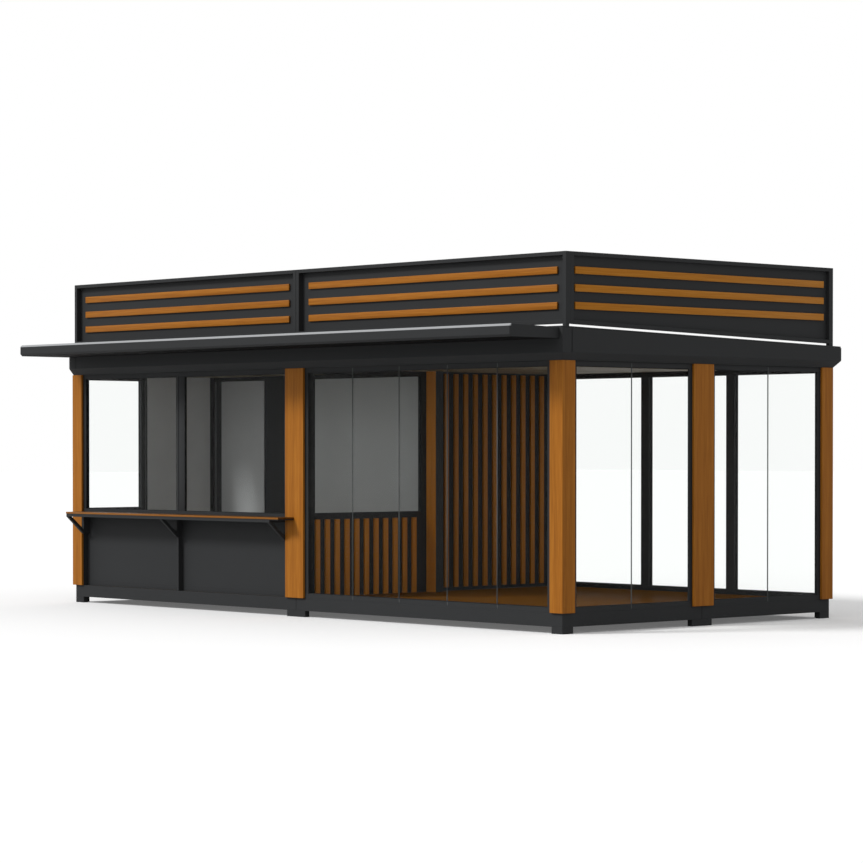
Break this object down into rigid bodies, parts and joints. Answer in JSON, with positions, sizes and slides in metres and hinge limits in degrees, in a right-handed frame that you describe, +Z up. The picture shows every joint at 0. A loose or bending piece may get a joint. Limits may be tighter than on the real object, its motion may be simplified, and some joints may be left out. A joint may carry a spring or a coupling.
{
  "type": "street kiosk with serving counter and glazed seating room",
  "caption": "Flat-roofed street kiosk in dark metal with timber posts, a serving counter, a glazed seating room, a front canopy and slatted parapet screens.",
  "frame": {"origin": "middle of the whole plan, canopy included, at ground level", "axes": "+X to the right along the front, +Y from the front to the back, +Z up"},
  "size_m": [8.128, 4.838, 3.696],
  "materials": {
    "anthracite_metal": "matt powder coat",
    "timber": "stained and varnished",
    "clear_glass": "clear",
    "light_panel": "matt light grey",
    "bright_trim": "satin grey",
    "beige_board": "matt painted board",
    "floor_sheet": "sealed plywood"
  },
  "bodies": {
    "root": {"back_glass_panels": "clear_glass", "back_wall_panels": "anthracite_metal", "base_feet": "anthracite_metal", "base_modules": "anthracite_metal", "bottom_tracks": "anthracite_metal", "canopy": "anthracite_metal", "canopy_edge_trim": "bright_trim", "ceiling": "beige_board", "centre_post": "anthracite_metal", "centre_post_facing": "timber", "corner_post_cladding": "timber", "corner_posts": "anthracite_metal", "counter_board": "timber", "counter_frame": "anthracite_metal", "cross_wall_light_panels": "light_panel", "cross_wall_middle_panel": "anthracite_metal", "dado_slats": "timber", "front_glass_panels": "clear_glass", "front_wall_panels": "anthracite_metal", "glass_jambs": "anthracite_metal", "left_wall_lining": "light_panel", "left_wall_panels": "anthracite_metal", "middle_post_cladding": "timber", "middle_posts": "anthracite_metal", "parapet_front_posts": "anthracite_metal", "parapet_rails": "anthracite_metal", "parapet_sheets": "anthracite_metal", "parapet_side_posts": "anthracite_metal", "parapet_strips": "timber", "partition_panels": "anthracite_metal", "right_glass_panels": "clear_glass", "roof_beam_back": "anthracite_metal", "roof_beam_front": "anthracite_metal", "roof_beam_left": "anthracite_metal", "roof_beam_right": "anthracite_metal", "roof_deck": "anthracite_metal", "seating_room_floor": "timber", "serving_room_floor": "floor_sheet", "store_room_floor": "floor_sheet", "top_tracks": "anthracite_metal", "wall_jambs": "anthracite_metal", "wall_mullions": "anthracite_metal", "wall_slats": "timber", "window_glass": "clear_glass", "window_sills": "anthracite_metal"}
  },
  "joints": []
}
